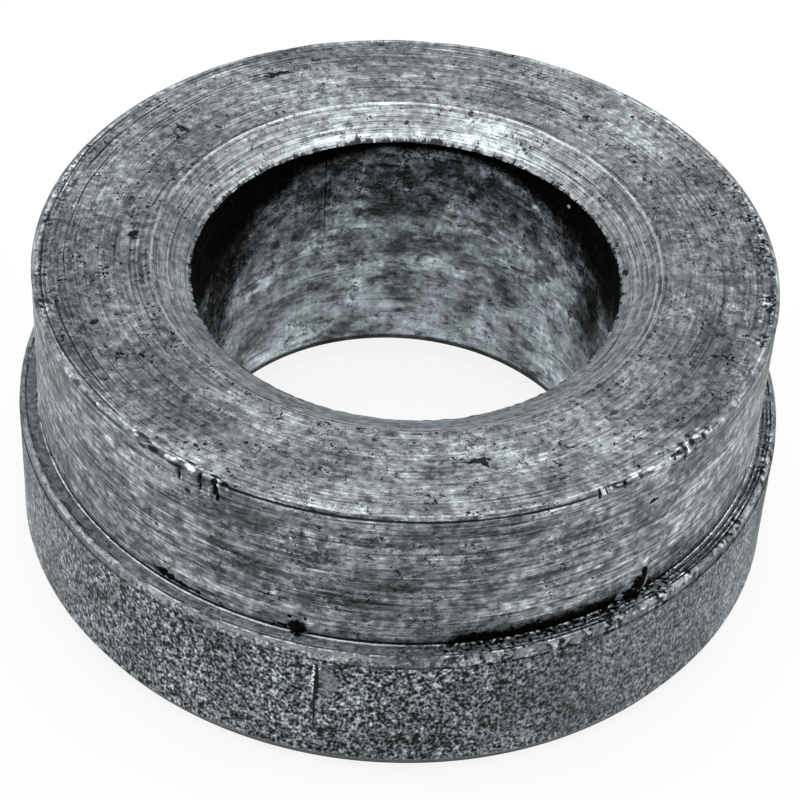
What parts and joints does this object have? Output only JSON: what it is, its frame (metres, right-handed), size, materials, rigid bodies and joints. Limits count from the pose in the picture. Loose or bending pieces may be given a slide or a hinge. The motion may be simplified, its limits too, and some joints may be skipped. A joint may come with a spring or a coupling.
{
  "type": "spring bracket bushing",
  "caption": "Plain turned steel bush with a countersunk bore, a short spigot and a slightly wider flange that keeps the bar's rough skin.",
  "frame": {"origin": "centre of the base face, on the bore's axis", "axes": "+Z along the bore, from the flange's base face to the spigot's top face"},
  "size_m": [0.04, 0.04, 0.0165],
  "materials": {
    "turned_steel": "plain grey turned steel with fine feed marks, dark oily stains in the bore and at the ledge, rough bar skin round the flange"
  },
  "bodies": {
    "root": {"bushing": "turned_steel"}
  },
  "joints": []
}
